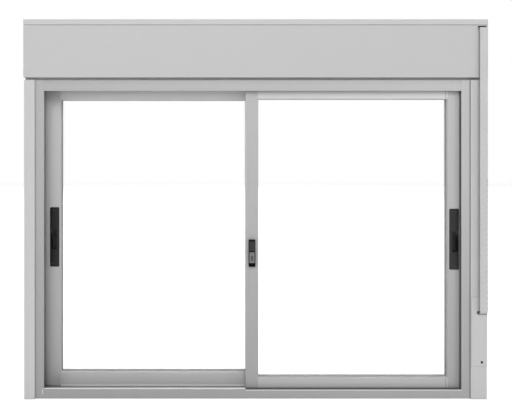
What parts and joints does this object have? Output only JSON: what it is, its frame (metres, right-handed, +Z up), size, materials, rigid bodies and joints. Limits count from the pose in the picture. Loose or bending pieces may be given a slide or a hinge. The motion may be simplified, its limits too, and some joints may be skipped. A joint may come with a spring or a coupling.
{
  "type": "sliding window with roller shutter box",
  "caption": "Aluminium sliding window with overlapping sashes on parallel tracks under a roller shutter box, with shutter guides, side columns, recessed pulls and a strap winder.",
  "frame": {"origin": "on the underside of the sill, in the middle of the unit's width and of the frame's depth", "axes": "+X to the right as seen from the room, +Y outwards through the window, +Z up"},
  "size_m": [1.2, 0.1677, 0.984],
  "materials": {
    "satin_aluminium": "satin anodised",
    "mill_aluminium": "mill finish",
    "grey_lacquer": "matt lacquer",
    "clear_glass": "clear",
    "grey_rubber": "matt",
    "black_rubber": "matt",
    "black_plastic": "matt",
    "grey_plastic": "matt",
    "white_plastic": "matt",
    "grey_pile": "woven pile",
    "woven_strap": "woven band",
    "zinc_steel": "galvanised"
  },
  "bodies": {
    "root": {"sill": "satin_aluminium", "head": "satin_aluminium", "left_jamb": "satin_aluminium", "right_jamb": "satin_aluminium", "left_column": "grey_lacquer", "right_column": "grey_lacquer", "flange_seals": "black_rubber", "left_sash_outer_stile": "satin_aluminium", "left_sash_meeting_stile": "satin_aluminium", "left_sash_top_rail": "satin_aluminium", "left_sash_bottom_rail": "satin_aluminium", "right_sash_outer_stile": "satin_aluminium", "right_sash_meeting_stile": "satin_aluminium", "right_sash_top_rail": "satin_aluminium", "right_sash_bottom_rail": "satin_aluminium", "left_glass": "clear_glass", "right_glass": "clear_glass", "glass_spacers": "mill_aluminium", "glazing_gaskets": "grey_rubber", "left_pull": "black_plastic", "right_pull": "black_plastic", "latch_body": "black_plastic", "latch_slider": "grey_plastic", "latch_keeper": "grey_plastic", "sash_rollers": "white_plastic", "sash_brushes": "grey_pile", "box_front_cover": "grey_lacquer", "box_top_panel": "grey_lacquer", "box_rear_panel": "grey_lacquer", "box_base": "grey_lacquer", "box_soffit": "grey_lacquer", "left_end_cap": "grey_plastic", "right_end_cap": "grey_plastic", "shutter_axle": "zinc_steel", "axle_bearings": "zinc_steel", "strap_pulley": "white_plastic", "shutter_curtain": "grey_lacquer", "shutter_end_slat": "satin_aluminium", "left_guide": "satin_aluminium", "right_guide": "satin_aluminium", "guide_brushes": "grey_pile", "lifting_strap": "woven_strap", "strap_inlet": "black_plastic", "winder_case": "black_plastic", "winder_drum": "woven_strap", "winder_cover": "grey_lacquer", "strap_mouth": "black_plastic"}
  },
  "joints": []
}
